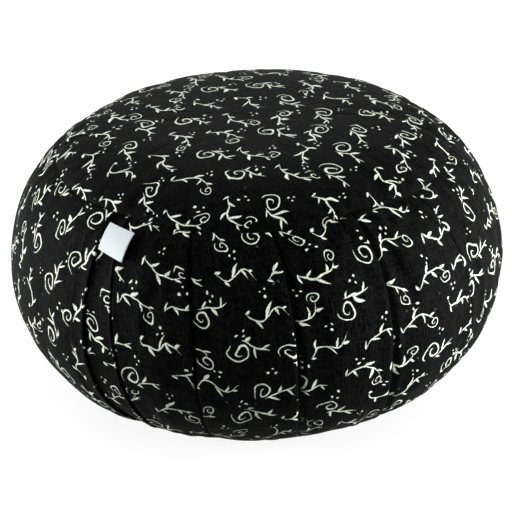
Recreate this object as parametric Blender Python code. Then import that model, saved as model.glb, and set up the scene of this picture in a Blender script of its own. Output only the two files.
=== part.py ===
"""Round meditation cushion: a filled zafu with a knife-pleated side band.

The filled form is made of its sewn panels. Two round panels close the top and the bottom, a
pleated band runs round the side, a plain flap laps over part of the band, and a small woven tag
is sewn in beside the flap's free edge. Metres, +Z up, front towards -Y, origin at the middle of
the resting flat. An azimuth is 0 at the front and grows towards +X.
"""

import math

import bmesh
import bpy
from mathutils import Vector

MM = 0.001

# Driving dimensions of the filled form
GIRTH_RADIUS = 0.180        # widest half-width
CROWN_RISE = 0.107          # from the widest girth up to the crown
BASE_RISE = 0.0997          # from the widest girth down, before the resting flat
REST_RADIUS = 0.095         # the flat that bears on the floor
SHOULDER_POWER = 3.9        # squareness of the shoulder across the radius
CROWN_POWER = 1.98          # roundness of the section up the height

# Seams
SEAM_RADIUS = 0.142         # finished radius of both round panels
SEAM_DRAW = 0.0022          # how far the stitches pull the cloth in
SEAM_REACH = 0.0055         # distance over which the cloth dips to the stitches
SEAM_DIP_POWER = 1.4        # how sharply the dip ends at the stitches
PIECE_GAP = 0.0003          # clearance between sewn pieces
PUCKER_DEPTH = 0.0007       # dimple in a round panel where a pleat is caught in its seam
PUCKER_REACH = 0.016        # how far a dimple runs in from the seam
PUCKER_WIDTH = 3.2          # half-width of a dimple, degrees

# Rings of the round panels, as shares of the way in from the seam
TOP_RINGS = (0.0, 0.015, 0.035, 0.065, 0.11, 0.18, 0.28, 0.42, 0.60, 0.80)
BOTTOM_RINGS = (0.0, 0.05, 0.12, 0.24, 0.42, 0.68, 1.0)
TOP_COLUMNS = 144
BOTTOM_COLUMNS = 96
SHARP_ANGLE = 50.0          # sewn and cut edges sharper than this stay crisp, degrees

# Side band
BAND_ROWS = 16
BETWEEN_FOLDS = 3           # columns on the smooth cloth between two folds
FULL_PITCH = 20.7           # usual spacing of the pleats, degrees
FOLD_CLOSE = 0.030          # distance from a seam over which a fold opens to its full section
LEAN_REACH = 0.20           # share of the way down over which most of a fold's lean happens
TAIL_POWER = 6              # keeps a fold's last swing close to the bottom seam
BOW_REACH = 0.25            # share of the way down at which a fold's bow is widest

# Flap over the band, left of the front
FLAP_THICKNESS = 0.0016
FLAP_STEP = 7.0             # spacing of the flap's columns, degrees

# Woven tag
TAG_WIDTH = 0.0235
TAG_HEIGHT = 0.0205
TAG_DROP = 0.0062           # from the top seam down to the tag, along the flap's edge
TAG_THICKNESS = 0.001
TAG_CLEARANCE = 0.0005      # from the flap's edge to the tag's sewn side
TAG_SUNK = 0.0006           # depth of its sewn side below the full form
TAG_RISE = 0.0030           # how far its free side stands off the full form
TAG_RISE_POWER = 0.8        # it climbs quickly over the first fold, then runs straight
TAG_COLUMNS = 6
TAG_ROWS = 5
PATH_STEP = 0.0005          # step along the section when measuring down from the seam

# One row for each pleat: azimuth at the top seam, lean to the right below it, tail, the last swing
# before the bottom seam, and bow to one side near the top, in degrees; depth is a share of the
# fold section below
PLEATS = [
    {"name": "front_left", "azimuth": -36.6, "lean": 5.2, "tail": 2.0, "bow": -1.5, "depth": 0.85},
    {"name": "front_second", "azimuth": -17.6, "lean": 4.7, "tail": -0.3, "bow": -1.0, "depth": 1.00},
    {"name": "front_middle", "azimuth": 3.9, "lean": 3.6, "tail": 1.0, "bow": 0.4, "depth": 1.00},
    {"name": "front_right", "azimuth": 26.8, "lean": 1.5, "tail": 4.5, "bow": 1.1, "depth": 1.25},
    {"name": "right_first", "azimuth": 49.0, "lean": 5.8, "tail": 0.0, "bow": -0.4, "depth": 0.75},
    {"name": "right_second", "azimuth": 68.0, "lean": 5.0, "tail": 1.0, "bow": 0.3, "depth": 0.80},
    {"name": "right_third", "azimuth": 88.0, "lean": 4.4, "tail": 1.0, "bow": 0.0, "depth": 1.05},
    {"name": "back_first", "azimuth": 109.0, "lean": 4.6, "tail": 2.0, "bow": -0.5, "depth": 0.95},
    {"name": "back_second", "azimuth": 130.5, "lean": 4.2, "tail": 0.5, "bow": 0.6, "depth": 1.10},
    {"name": "back_third", "azimuth": 150.0, "lean": 4.4, "tail": 1.5, "bow": -0.3, "depth": 0.90},
    {"name": "back_fourth", "azimuth": 171.5, "lean": 3.8, "tail": 1.0, "bow": 0.5, "depth": 1.05},
    {"name": "back_fifth", "azimuth": 192.5, "lean": 4.8, "tail": 0.0, "bow": -0.6, "depth": 0.85},
    {"name": "back_last", "azimuth": 213.5, "lean": 4.4, "tail": 1.5, "bow": 0.4, "depth": 1.00},
    {"name": "flap_root", "azimuth": 234.5, "lean": 3.5, "tail": 2.0, "bow": 0.0, "depth": 1.00},
]
FLAP_EDGE = {"name": "flap_edge", "azimuth": 318.8, "lean": 0.4, "tail": 5.0, "bow": 0.0}

# Where the filling leaves the form uneven: middle of each dent as azimuth in degrees and height
# above the girth in mm, its depth in mm (a bulge is negative), its half-width in degrees, its
# half-height in mm and its slant in degrees for each mm of height
DENTS = [
    {"name": "shoulder_right", "azimuth": 88.0, "height": 66.0, "depth": 3.0, "wide": 13.0,
     "tall": 24.0, "slant": 0.0},
    {"name": "front_valley", "azimuth": -2.4, "height": 0.0, "depth": 1.7, "wide": 3.2,
     "tall": 70.0, "slant": 0.043},
    {"name": "beside_front_right", "azimuth": 31.9, "height": 63.0, "depth": 1.2, "wide": 2.2,
     "tall": 12.0, "slant": -0.05},
    {"name": "flap_crease", "azimuth": -56.6, "height": 4.0, "depth": 0.8, "wide": 2.6,
     "tall": 34.0, "slant": 0.02},
    {"name": "back_valley", "azimuth": 141.0, "height": 10.0, "depth": 1.5, "wide": 3.6,
     "tall": 60.0, "slant": 0.04},
    {"name": "back_left_valley", "azimuth": 203.0, "height": -12.0, "depth": 1.2, "wide": 3.4,
     "tall": 50.0, "slant": 0.05},
]

# Where the top seam wanders from its circle towards the crown: azimuth and half-width in degrees
# and the slide along the cloth in mm
SEAM_WANDER = [
    {"name": "front_right", "azimuth": 30.5, "slide": 4.8, "wide": 9.5},
    {"name": "above_tag", "azimuth": -43.0, "slide": 2.2, "wide": 9.0},
    {"name": "back", "azimuth": 160.0, "slide": 2.8, "wide": 14.0},
]
WANDER_FADE = 0.035         # distance below or inside the seam over which the wander dies out

# Section across a fold, in mm: along the band from the fold's edge and depth below the full
# form, as it stands open at the girth and as it is caught flat in a seam
FOLD_SECTION = [
    {"point": "shoulder", "along": -15.0, "depth": 0.0, "seam_along": -13.0, "seam_depth": 0.0},
    {"point": "roll", "along": -4.5, "depth": -0.5, "seam_along": -5.0, "seam_depth": -0.1},
    {"point": "edge", "along": -0.6, "depth": 0.1, "seam_along": -0.7, "seam_depth": 0.1},
    {"point": "lip", "along": 0.1, "depth": 1.1, "seam_along": -0.1, "seam_depth": 0.7},
    {"point": "pocket", "along": -2.6, "depth": 2.1, "seam_along": 0.3, "seam_depth": 1.1},
    {"point": "heel", "along": -0.4, "depth": 2.9, "seam_along": 1.0, "seam_depth": 1.3},
    {"point": "valley", "along": 3.5, "depth": 2.7, "seam_along": 4.0, "seam_depth": 1.1},
    {"point": "slope", "along": 10.0, "depth": 1.3, "seam_along": 9.0, "seam_depth": 0.6},
    {"point": "ease", "along": 20.0, "depth": 0.2, "seam_along": 18.0, "seam_depth": 0.1},
]

# The points of the last fold that show beside the flap's root
ROOT_POINTS = ("shoulder", "roll", "edge", "lip", "pocket")

# Section of the band's bed under the flap's two ends, in mm from the end
BED_START = [
    {"point": "tuck", "along": 0.9, "depth": 3.2},
    {"point": "climb", "along": 8.0, "depth": 2.4},
]
BED_END = [
    {"point": "edge", "along": 1.6, "depth": 1.9},
    {"point": "valley", "along": 4.0, "depth": 2.1},
    {"point": "slope", "along": 8.0, "depth": 1.0},
]
BED_DEPTH = 1.9

# Section across the flap, in mm from each end, at its outer face
FLAP_START = [
    {"point": "tuck", "along": 0.9, "depth": 1.3},
    {"point": "climb", "along": 8.0, "depth": 0.5},
]
FLAP_END = [
    {"point": "shoulder", "along": -12.0, "depth": 0.0},
    {"point": "roll", "along": -3.5, "depth": -0.4},
    {"point": "edge", "along": -0.6, "depth": -0.1},
]
FLAP_NOSE = [{"point": "nose", "along": 0.0, "depth": 0.7}]

FINISHES = {
    "printed_canvas": {"colour": (0.012, 0.012, 0.014), "roughness": 0.86},
    "woven_tag": {"colour": (0.80, 0.83, 0.86), "roughness": 0.70},
}


def section_height(radius, rise):
    """Height above or below the girth at which the full form has this radius."""
    return rise * (1.0 - (radius / GIRTH_RADIUS) ** SHOULDER_POWER) ** (1.0 / CROWN_POWER)


def section_radius(height, rise):
    """Radius of the full form at this distance above or below the girth."""
    share = (abs(height) / rise) ** CROWN_POWER
    return GIRTH_RADIUS * (1.0 - share) ** (1.0 / SHOULDER_POWER)


def section_normal(radius, height, rise):
    """Outward normal of the full form, as its radial and upward parts."""
    out = SHOULDER_POWER / GIRTH_RADIUS * (radius / GIRTH_RADIUS) ** (SHOULDER_POWER - 1.0)
    up = CROWN_POWER / rise * (abs(height) / rise) ** (CROWN_POWER - 1.0)
    size = math.hypot(out, up)
    return out / size, math.copysign(up / size, height)


def seam_dip(radius, height, rise):
    """How far the stitches pull the cloth in at this point of the section."""
    seam_height = section_height(SEAM_RADIUS, rise)
    distance = math.hypot(radius - SEAM_RADIUS, abs(height) - seam_height)
    return SEAM_DRAW * math.exp(-((distance / SEAM_REACH) ** SEAM_DIP_POWER))


def drawn_point(radius, height, rise):
    """A point of the section with the seam's dip: its radius, its height and its outward share."""
    out, up = section_normal(radius, height, rise)
    dip = seam_dip(radius, height, rise)
    return radius - dip * out, height - dip * up, out


GIRTH_HEIGHT = section_height(REST_RADIUS, BASE_RISE)
TOP_SEAM = drawn_point(SEAM_RADIUS, section_height(SEAM_RADIUS, CROWN_RISE), CROWN_RISE)
BOTTOM_SEAM = drawn_point(SEAM_RADIUS, -section_height(SEAM_RADIUS, BASE_RISE), BASE_RISE)


def around(azimuth, radius, z):
    """The point at this azimuth in degrees, this distance from the axis and this height."""
    angle = math.radians(azimuth)
    return Vector((radius * math.sin(angle), -radius * math.cos(angle), z))


def band_sections():
    """The band's rows from the bottom seam to the top seam, each with its share of the way down."""
    low = -section_height(SEAM_RADIUS, BASE_RISE)
    high = section_height(SEAM_RADIUS, CROWN_RISE)
    rows = []
    for index in range(BAND_ROWS + 1):
        share = 0.5 - 0.5 * math.cos(math.pi * index / BAND_ROWS)
        height = low + (high - low) * share
        rise = CROWN_RISE if height > 0.0 else BASE_RISE
        radius = section_radius(height, rise)
        seam_distance = min(
            math.hypot(radius - SEAM_RADIUS, height - low),
            math.hypot(radius - SEAM_RADIUS, height - high),
        )
        drawn_radius, drawn_height, out = drawn_point(radius, height, rise)
        opening = 1.0 - math.exp(-((seam_distance / FOLD_CLOSE) ** 2))
        rows.append({
            "radius": drawn_radius,
            "height": drawn_height,
            "out": out,
            "down": 1.0 - share,
            "opening": opening,
            "clear": 0.0,
        })
    rows[0]["clear"] = PIECE_GAP / 2.0
    rows[-1]["clear"] = -PIECE_GAP / 2.0
    return rows


def turned_apart(first, second):
    """Signed turn from the second azimuth to the first, between -180 and 180 degrees."""
    return (first - second + 180.0) % 360.0 - 180.0


def fold_azimuth(place, down):
    """Azimuth of a fold or flap edge at this share of the way down the band."""
    lean = place["lean"] * (1.0 - math.exp(-down / LEAN_REACH))
    bow = place["bow"] * down / BOW_REACH * math.exp(1.0 - down / BOW_REACH)
    return place["azimuth"] + lean + bow + place["tail"] * down ** TAIL_POWER


def unevenness(azimuth, height):
    """Depth of the filling's dents below the full form at this place."""
    depth = 0.0
    for dent in DENTS:
        above = height / MM - dent["height"]
        across = turned_apart(azimuth, dent["azimuth"] + dent["slant"] * above) / dent["wide"]
        depth += dent["depth"] * MM * math.exp(-(across ** 2) - (above / dent["tall"]) ** 2)
    return depth


def wander(azimuth, seam_distance):
    """Slide of the cloth towards the crown where the top seam leaves its circle."""
    slide = 0.0
    for bump in SEAM_WANDER:
        across = turned_apart(azimuth, bump["azimuth"]) / bump["wide"]
        slide += bump["slide"] * MM * math.exp(-(across ** 2))
    return slide * math.exp(-((seam_distance / WANDER_FADE) ** 2))


def form_point(azimuth, row, depth):
    """A point at this depth below the uneven form, in the row's section."""
    seam_distance = math.hypot(row["radius"] - TOP_SEAM[0], row["height"] - TOP_SEAM[1])
    slide = wander(azimuth, seam_distance) if row["height"] > 0.0 else 0.0
    up = math.sqrt(1.0 - row["out"] ** 2)
    inward = (depth + unevenness(azimuth, row["height"])) / row["out"]
    z = GIRTH_HEIGHT + row["height"] + slide * row["out"] + row["clear"]
    return around(azimuth, row["radius"] - slide * up - inward, z)


def crowding(pleat, neighbour):
    """How much a fold's section narrows where its neighbour stands close."""
    return min(1.0, abs(neighbour["azimuth"] - pleat["azimuth"]) / FULL_PITCH)


def fold_columns(pleat, before, after, points, row):
    """Azimuth and depth of a fold's columns in one row of the band."""
    columns = []
    azimuth = fold_azimuth(pleat, row["down"])
    for point in points:
        along = point["seam_along"] + (point["along"] - point["seam_along"]) * row["opening"]
        depth = point["seam_depth"] + (point["depth"] - point["seam_depth"]) * row["opening"]
        if point["point"] in ("shoulder", "roll"):
            along *= crowding(pleat, before)
        if point["point"] in ("slope", "ease"):
            along *= crowding(pleat, after)
        turn = math.degrees(along * MM / row["radius"])
        columns.append((azimuth + turn, depth * pleat["depth"] * MM))
    return columns


def end_columns(place, points, row):
    """Azimuth and depth of the columns measured from one end of the flap."""
    azimuth = fold_azimuth(place, row["down"])
    return [
        (azimuth + math.degrees(point["along"] * MM / row["radius"]), point["depth"] * MM)
        for point in points
    ]


def spread_columns(first, last, count, depth):
    """Columns at even steps between two azimuths, at one depth."""
    step = (last - first) / (count + 1)
    return [(first + step * (index + 1), depth) for index in range(count)]


def flap_middle_count():
    """Number of columns between the two shaped ends of the flap."""
    return round((FLAP_EDGE["azimuth"] - PLEATS[-1]["azimuth"]) / FLAP_STEP) - 1


def band_columns(row):
    """Every column of the band in one row, once round from the first pleat."""
    columns = []
    for index, pleat in enumerate(PLEATS):
        before = PLEATS[index - 1] if index else {"azimuth": FLAP_EDGE["azimuth"] - 360.0}
        after = PLEATS[index + 1] if index + 1 < len(PLEATS) else FLAP_EDGE
        points = FOLD_SECTION
        if pleat["name"] == "flap_root":
            points = [point for point in FOLD_SECTION if point["point"] in ROOT_POINTS]
        fold = fold_columns(pleat, before, after, points, row)
        if index:
            columns += spread_columns(columns[-1][0], fold[0][0], BETWEEN_FOLDS, 0.0)
        columns += fold
    start = end_columns(PLEATS[-1], BED_START, row)
    end = end_columns(FLAP_EDGE, FLAP_END, row)
    bed = spread_columns(start[-1][0], end[0][0], flap_middle_count(), BED_DEPTH * MM)
    under = [(azimuth, BED_DEPTH * MM) for azimuth, depth in end]
    return columns + start + bed + under + end_columns(FLAP_EDGE, BED_END, row)


def flap_columns(row):
    """Every column of the flap's outer face in one row, from its root to its free edge."""
    start = end_columns(PLEATS[-1], FLAP_START, row)
    end = end_columns(FLAP_EDGE, FLAP_END, row)
    return start + spread_columns(start[-1][0], end[0][0], flap_middle_count(), 0.0) + end


def row_points(columns, row):
    """The points of one row, each at its own depth below the full form."""
    return [form_point(azimuth, row, depth) for azimuth, depth in columns]


def add_loop(bm, points):
    return [bm.verts.new(point) for point in points]


def bridge(bm, lower, upper, closed=True):
    """Faces between two loops of the same length, seen from outside when they run anticlockwise."""
    count = len(lower)
    for index in range(count if closed else count - 1):
        after = (index + 1) % count
        bm.faces.new((lower[index], lower[after], upper[after], upper[index]))


def close_disc(bm, loop, centre, facing_up):
    """A fan that closes a loop with a point at its middle."""
    middle = bm.verts.new(centre)
    for index, vert in enumerate(loop):
        after = loop[(index + 1) % len(loop)]
        bm.faces.new((vert, after, middle) if facing_up else (after, vert, middle))


def make_finish(name):
    """A Principled material with the finish's own colour and roughness."""
    finish = FINISHES[name]
    material = bpy.data.materials.get(name) or bpy.data.materials.new(name)
    material.use_nodes = True
    shader = material.node_tree.nodes["Principled BSDF"]
    shader.inputs["Base Color"].default_value = (*finish["colour"], 1.0)
    shader.inputs["Roughness"].default_value = finish["roughness"]
    shader.inputs["Metallic"].default_value = 0.0
    return material


def finish_piece(bm, name, finish):
    """Turns a bmesh into a named object with smooth faces and sharp sewn edges."""
    mesh = bpy.data.meshes.new(name)
    bm.to_mesh(mesh)
    bm.free()
    mesh.shade_smooth()
    mesh.set_sharp_from_angle(angle=math.radians(SHARP_ANGLE))
    mesh.materials.append(make_finish(finish))
    piece = bpy.data.objects.new(name, mesh)
    bpy.context.scene.collection.objects.link(piece)
    return piece


def pucker(azimuth, seam_distance, down):
    """Dip of a round panel where the nearest pleat is caught in its seam, deepest at mid-reach."""
    nearest = min(abs(turned_apart(azimuth, fold_azimuth(pleat, down))) for pleat in PLEATS)
    across = math.exp(-((nearest / PUCKER_WIDTH) ** 2))
    inward = 2.0 * seam_distance / PUCKER_REACH
    return PUCKER_DEPTH * across * inward * math.exp(1.0 - inward)


def round_panel(bm, rise, side, inner_radius, columns, ring_shares):
    """The rings of a round panel from its seam inwards; side is 1 above the girth, -1 below."""
    down = 0.0 if side > 0 else 1.0
    seam = TOP_SEAM if side > 0 else BOTTOM_SEAM
    rings = []
    for share in ring_shares:
        radius = SEAM_RADIUS + (inner_radius - SEAM_RADIUS) * share
        height = side * section_height(radius, rise)
        drawn_radius, drawn_height, out = drawn_point(radius, height, rise)
        seam_distance = math.hypot(drawn_radius - seam[0], drawn_height - seam[1])
        up = math.sqrt(1.0 - out ** 2)
        clear = side * PIECE_GAP / 2.0 if share == 0.0 else 0.0
        points = []
        for index in range(columns):
            azimuth = 360.0 * index / columns
            dip = pucker(azimuth, SEAM_RADIUS - radius, down)
            slide = wander(azimuth, seam_distance) if side > 0 else 0.0
            z = GIRTH_HEIGHT + drawn_height + slide * out + clear - side * dip
            points.append(around(azimuth, drawn_radius - slide * up, z))
        rings.append(add_loop(bm, points))
    return rings, GIRTH_HEIGHT + seam[1] + side * PIECE_GAP / 2.0


def build_top_panel():
    """The domed top panel, filled down to the plane of its seam."""
    bm = bmesh.new()
    rings, seam_z = round_panel(bm, CROWN_RISE, 1, 0.0, TOP_COLUMNS, TOP_RINGS)
    for outer, inner in zip(rings, rings[1:]):
        bridge(bm, outer, inner)
    close_disc(bm, rings[-1], Vector((0.0, 0.0, GIRTH_HEIGHT + CROWN_RISE)), True)
    close_disc(bm, rings[0], Vector((0.0, 0.0, seam_z)), False)
    return finish_piece(bm, "top_panel", "printed_canvas")


def build_bottom_panel():
    """The bottom panel, filled up to the plane of its seam and flat where it rests."""
    bm = bmesh.new()
    rings, seam_z = round_panel(bm, BASE_RISE, -1, REST_RADIUS, BOTTOM_COLUMNS, BOTTOM_RINGS)
    for vert in rings[-1]:
        vert.co.z = 0.0
    for outer, inner in zip(rings, rings[1:]):
        bridge(bm, inner, outer)
    close_disc(bm, rings[-1], Vector((0.0, 0.0, 0.0)), False)
    close_disc(bm, rings[0], Vector((0.0, 0.0, seam_z)), True)
    return finish_piece(bm, "bottom_panel", "printed_canvas")


def build_side_band(rows):
    """The pleated band, filled between the planes of its two seams."""
    bm = bmesh.new()
    loops = [add_loop(bm, row_points(band_columns(row), row)) for row in rows]
    for lower, upper in zip(loops, loops[1:]):
        bridge(bm, lower, upper)
    for loop, row, facing_up in ((loops[0], rows[0], False), (loops[-1], rows[-1], True)):
        middle = Vector((0.0, 0.0, GIRTH_HEIGHT + row["height"] + row["clear"]))
        close_disc(bm, loop, middle, facing_up)
    return finish_piece(bm, "side_band", "printed_canvas")


def build_band_flap(rows):
    """The plain flap over the band: one sheet with its inner face on the band's bed."""
    bm = bmesh.new()
    loops = []
    for row in rows:
        outer = flap_columns(row)
        inner = [(azimuth, depth + FLAP_THICKNESS) for azimuth, depth in reversed(outer)]
        nose = end_columns(FLAP_EDGE, FLAP_NOSE, row)
        loops.append(add_loop(bm, row_points(outer + nose + inner, row)))
    for lower, upper in zip(loops, loops[1:]):
        bridge(bm, lower, upper)
    for loop, facing_up in ((loops[0], False), (loops[-1], True)):
        count = len(loop) // 2
        for index in range(count - 1):
            quad = (loop[index], loop[index + 1], loop[-2 - index], loop[-1 - index])
            bm.faces.new(quad if facing_up else quad[::-1])
        corner = (loop[count - 1], loop[count], loop[count + 1])
        bm.faces.new(corner if facing_up else corner[::-1])
    return finish_piece(bm, "band_flap", "printed_canvas")


def tag_section(distance):
    """The band's row at a distance down from the top seam along the flap's edge."""
    high = section_height(SEAM_RADIUS, CROWN_RISE)
    low = -section_height(SEAM_RADIUS, BASE_RISE)
    height = high
    radius = SEAM_RADIUS
    travelled = 0.0
    while travelled < distance:
        height -= PATH_STEP
        next_radius = section_radius(height, CROWN_RISE)
        travelled += math.hypot(next_radius - radius, PATH_STEP)
        radius = next_radius
    drawn_radius, drawn_height, out = drawn_point(radius, height, CROWN_RISE)
    return {
        "radius": drawn_radius,
        "height": drawn_height,
        "out": out,
        "down": (high - height) / (high - low),
        "clear": 0.0,
    }


def build_woven_tag():
    """The small tag beside the flap's edge, sewn down on its left and standing off on its right."""
    bm = bmesh.new()
    layers = []
    for face_depth in (TAG_THICKNESS, 0.0):
        grid = []
        for down_index in range(TAG_ROWS + 1):
            row = tag_section(TAG_DROP + TAG_HEIGHT * down_index / TAG_ROWS)
            edge = fold_azimuth(FLAP_EDGE, row["down"])
            line = []
            for index in range(TAG_COLUMNS + 1):
                share = index / TAG_COLUMNS
                along = TAG_CLEARANCE + TAG_WIDTH * share
                sunk = TAG_SUNK - (TAG_RISE + TAG_SUNK) * share ** TAG_RISE_POWER
                azimuth = edge + math.degrees(along / row["radius"])
                line.append((azimuth, sunk + face_depth))
            grid.append(add_loop(bm, row_points(line, row)))
        layers.append(grid)
    inner, outer = layers
    for down_index in range(TAG_ROWS):
        bridge(bm, outer[down_index + 1], outer[down_index], closed=False)
        bridge(bm, inner[down_index], inner[down_index + 1], closed=False)
    border_outer = outer[0] + [line[-1] for line in outer[1:]]
    border_outer += outer[-1][-2::-1] + [line[0] for line in outer[-2:0:-1]]
    border_inner = inner[0] + [line[-1] for line in inner[1:]]
    border_inner += inner[-1][-2::-1] + [line[0] for line in inner[-2:0:-1]]
    bridge(bm, border_outer, border_inner)
    return finish_piece(bm, "woven_tag", "woven_tag")


def clear_scene():
    for item in list(bpy.data.objects):
        bpy.data.objects.remove(item)


def main():
    clear_scene()
    rows = band_sections()
    build_bottom_panel()
    build_side_band(rows)
    build_band_flap(rows)
    build_woven_tag()
    build_top_panel()


main()
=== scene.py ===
import math
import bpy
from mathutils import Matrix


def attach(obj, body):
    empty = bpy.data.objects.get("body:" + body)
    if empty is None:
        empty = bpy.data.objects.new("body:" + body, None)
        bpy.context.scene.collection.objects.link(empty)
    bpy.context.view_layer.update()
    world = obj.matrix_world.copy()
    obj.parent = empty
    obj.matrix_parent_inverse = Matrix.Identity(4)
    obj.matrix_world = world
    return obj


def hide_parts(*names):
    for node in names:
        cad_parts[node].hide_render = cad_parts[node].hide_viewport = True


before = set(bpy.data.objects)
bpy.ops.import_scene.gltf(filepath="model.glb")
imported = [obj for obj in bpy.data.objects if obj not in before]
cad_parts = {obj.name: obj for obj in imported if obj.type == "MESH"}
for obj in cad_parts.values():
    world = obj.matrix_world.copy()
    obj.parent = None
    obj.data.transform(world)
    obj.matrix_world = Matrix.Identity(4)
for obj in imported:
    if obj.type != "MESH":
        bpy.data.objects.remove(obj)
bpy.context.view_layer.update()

from types import SimpleNamespace as Named

import bmesh
import bpy
import numpy as np
from mathutils import Matrix, Vector, noise

mm = 0.001


def tableOf(names, *rows):
    # named values for each row, with the names of the columns given once
    return [Named(**dict(zip(names.split(), row))) for row in rows]


def fade(distance, reach, power=2.0):
    # 1 at no distance, falling towards 0 past the reach
    return np.exp(-((distance / reach) ** power))


# The filled form, in metres: the same section as the part's own
form = Named(
    girthRadius=0.180,
    crownRise=0.107,
    baseRise=0.0997,
    restRadius=0.095,
    shoulderPower=3.9,
    crownPower=1.98,
    seamRadius=0.142,
    seamDraw=0.0022,       # the stitches pull the cloth in by this much
    seamReach=0.0055,
    seamDipPower=1.4,
    pieceGap=0.0003,
    wanderFade=0.035,
)

# Pleats: azimuth at the top seam, lean below it, last swing and bow to one side near the top, all in
# degrees, share of the fold's depth, and width of the open slit in mm at the top and at the foot
pleats = tableOf(
    "azimuth lean tail bow depth gaps",
    (-36.6, 5.2, 2.0, -1.5, 0.80, (-0.2, 1.2)),
    (-17.6, 4.7, -0.3, -1.0, 0.95, (1.3, 0.7)),
    (3.9, 3.6, 1.0, 0.4, 0.98, (1.3, 2.6)),
    (26.8, 1.5, 4.5, 1.1, 0.92, (1.5, 3.3)),
    (49.0, 5.8, 0.0, -0.4, 0.75, (0.4, 0.4)),
    (68.0, 5.0, 1.0, 0.3, 0.80, (0.5, 0.7)),
    (88.0, 4.4, 1.0, 0.0, 1.00, (0.6, 1.0)),
    (109.0, 4.6, 2.0, -0.5, 0.90, (0.4, 0.8)),
    (130.5, 4.2, 0.5, 0.6, 1.10, (0.8, 1.1)),
    (150.0, 4.4, 1.5, -0.3, 0.85, (0.5, 0.5)),
    (171.5, 3.8, 1.0, 0.5, 1.05, (0.6, 1.3)),
    (192.5, 4.8, 0.0, -0.6, 0.80, (0.3, 0.6)),
    (213.5, 4.4, 1.5, 0.4, 0.95, (0.6, 0.9)),
    (234.5, 3.5, 2.0, 0.0, 1.00, (0.6, 0.8)),
)
flapEdge = Named(azimuth=318.8, lean=0.4, tail=5.0, bow=0.0)
# The second pleat's fold rolls over to the other side between these shares of its length
rollOver = Named(pleat=1, start=0.42, end=0.62)
# How much further the cloth swells beside some pleats, by the pleat's number
rollSwell = {1: 1.6, 2: 2.4, 3: 1.5, 6: 1.5, 8: 1.8, 10: 1.6}
bowReach, leanReach, tailPower = 0.25, 0.20, 6  # the reaches are shares of the band's height

# Hollows that the filling leaves: azimuth, height above the girth in mm, depth in mm, half-width in
# degrees, half-height in mm, slant in degrees for each mm up
dents = tableOf(
    "azimuth height depth wide tall slant",
    (88.0, 66.0, 3.0, 13.0, 24.0, 0.0),
    (-3.4, -38.0, 2.6, 1.3, 44.0, 0.02),
    (-24.5, 10.0, 0.7, 1.5, 48.0, 0.03),
    (12.0, -10.0, 0.8, 1.8, 40.0, 0.03),
    (33.4, 52.0, 2.0, 1.6, 20.0, -0.07),
    (-56.6, 4.0, 1.0, 2.2, 34.0, 0.02),
    (62.0, -18.0, 1.1, 2.0, 38.0, 0.03),
    (100.0, 14.0, 1.3, 2.2, 44.0, 0.04),
    (141.0, 10.0, 1.8, 2.4, 60.0, 0.04),
    (182.0, -6.0, 1.4, 1.8, 50.0, 0.03),
    (203.0, -12.0, 1.5, 2.6, 50.0, 0.05),
)

# Where the top seam strays from its circle towards the crown, in degrees and mm
seamWander = tableOf(
    "azimuth slide wide",
    (30.5, 4.8, 9.5),
    (-43.0, 2.2, 9.0),
    (160.0, 2.8, 14.0),
)


def sectionHeight(radius, rise):
    share = np.clip(1.0 - (radius / form.girthRadius) ** form.shoulderPower, 0.0, 1.0)
    return rise * share ** (1.0 / form.crownPower)


def sectionRadius(height, rise):
    share = np.clip(1.0 - (np.abs(height) / rise) ** form.crownPower, 0.0, 1.0)
    return form.girthRadius * share ** (1.0 / form.shoulderPower)


def sectionNormal(radius, height, rise):
    # outward normal as its radial and upward shares
    out = form.shoulderPower / form.girthRadius * (radius / form.girthRadius) ** (form.shoulderPower - 1.0)
    up = form.crownPower / rise * (np.abs(height) / rise) ** (form.crownPower - 1.0)
    size = np.hypot(out, up)
    return out / size, np.sign(height) * up / size


def seamDip(radius, height, rise):
    seamHeight = sectionHeight(form.seamRadius, rise)
    distance = np.hypot(radius - form.seamRadius, np.abs(height) - seamHeight)
    return form.seamDraw * fade(distance, form.seamReach, form.seamDipPower)


girthHeight = float(sectionHeight(form.restRadius, form.baseRise))
topSeamHeight = float(sectionHeight(form.seamRadius, form.crownRise))
bottomSeamHeight = -float(sectionHeight(form.seamRadius, form.baseRise))


def foldAzimuth(place, down):
    lean = place.lean * (1.0 - np.exp(-down / leanReach))
    bow = place.bow * down / bowReach * np.exp(1.0 - down / bowReach)
    return place.azimuth + lean + bow + place.tail * down ** tailPower


def turnedApart(first, second):
    return (first - second + 180.0) % 360.0 - 180.0


def unevenness(azimuth, height):
    depth = 0.0
    for dent in dents:
        above = height / mm - dent.height
        across = turnedApart(azimuth, dent.azimuth + dent.slant * above)
        depth = depth + dent.depth * mm * fade(across, dent.wide) * fade(above, dent.tall)
    return depth


# Fine relief in mm, with a gather's width in degrees: gathers that run away from the seams, and the
# lumps of the filling
relief = Named(gather=0.55, gatherWide=3.4, gatherLong=55.0, gatherReach=26.0, gatherPower=1.5,
               gatherStart=4.0, rest=0.14, lump=0.75, lumpSize=34.0)
perRadian = 57.3  # degrees in a radian


def gathers(azimuth, seamDistance, cloth):
    # small folds that start behind the stitches and fade away from them
    away = seamDistance / mm
    strength = relief.rest + relief.gather * fade(away, relief.gatherReach, relief.gatherPower)
    strength *= 1.0 - fade(away, relief.gatherStart)
    turns = perRadian / relief.gatherWide
    waves = [noise.noise(Vector((math.cos(turn) * turns, math.sin(turn) * turns,
                                 cloth / (relief.gatherLong * mm)))) for turn in np.radians(azimuth)]
    return strength * mm * np.array(waves)


def lumps(points):
    # one field for all pieces, so that neighbours move together at their seams
    size = relief.lumpSize * mm
    lift = np.array([noise.noise(Vector(point) / size) for point in points]) * relief.lump * mm
    outward = np.array(points) - (0.0, 0.0, girthHeight)
    return points + outward / np.linalg.norm(outward, axis=1, keepdims=True) * lift[:, None]


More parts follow.
